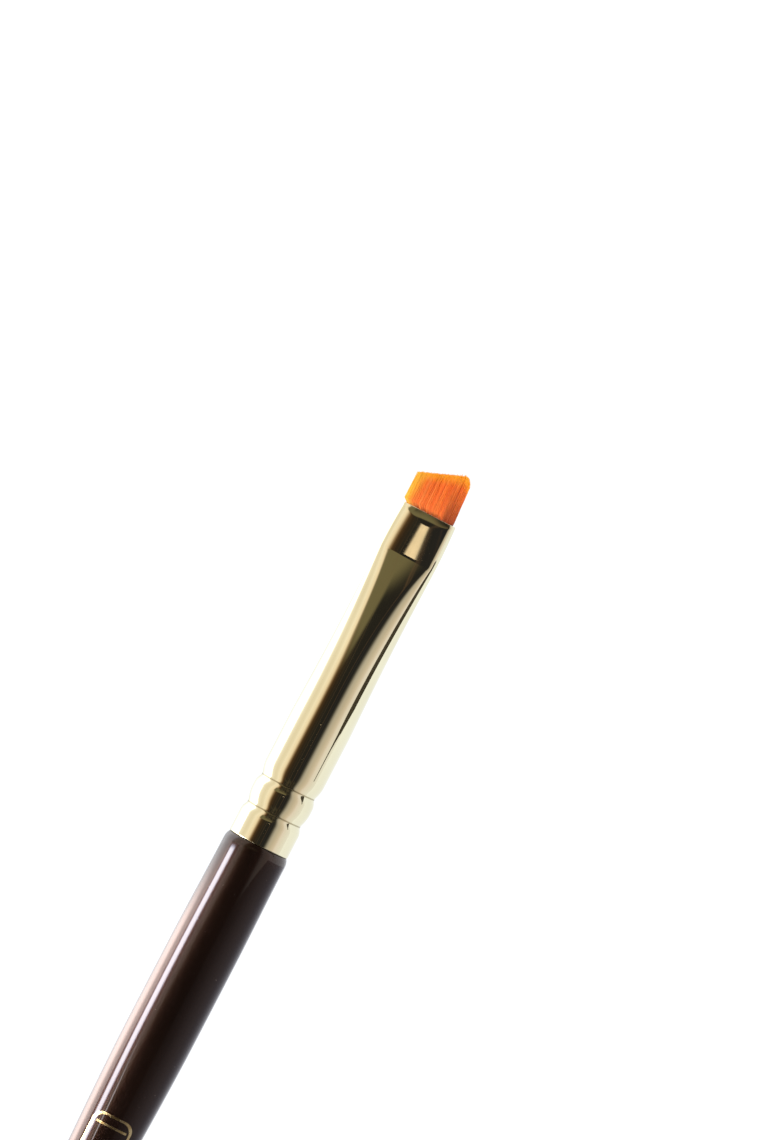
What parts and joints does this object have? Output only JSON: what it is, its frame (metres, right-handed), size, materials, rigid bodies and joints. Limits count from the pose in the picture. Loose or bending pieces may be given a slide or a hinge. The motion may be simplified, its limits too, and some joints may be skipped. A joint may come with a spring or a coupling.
{
  "type": "fine detail brush",
  "caption": "Slim brush with an angled flat tuft in a crimped, flattened metal ferrule on a lacquered wooden handle; the tuft bends when pressed.",
  "frame": {"origin": "on the brush's axis at the middle of the grip, the widest part of the handle", "axes": "+X along the brush from the tail to the tuft; +Z out of the broad face of the flattened ferrule; the long side of the slanted tuft is at -Y"},
  "size_m": [0.1758, 0.006, 0.006],
  "materials": {
    "core_wood": "turned, bare inside the lacquer",
    "lacquer": "dark brown gloss lacquer",
    "ferrule_metal": "polished pale gold",
    "glue": "set glue",
    "epoxy": "cured amber epoxy",
    "thread": "twisted binding thread",
    "hair": "orange synthetic hair, golden at the tips",
    "foil": "hot-stamped gold foil"
  },
  "bodies": {
    "brush": {"handle_core": "core_wood", "lacquer_coat": "lacquer", "ferrule": "ferrule_metal", "tenon_glue": "glue", "root_epoxy": "epoxy", "binding_thread": "thread", "hair_root": "hair", "foil_frame": "foil"},
    "tuft": {"hair_tip": "hair"}
  },
  "joints": [
    {"name": "tuft_bend", "type": "hinge", "parent": "brush", "child": "tuft", "pos_m": [0.0465, 0, 0], "axis": [0, 1, 0], "range_deg": [-45, 45], "stiffness_Nm_per_rad": 0.0006}
  ]
}
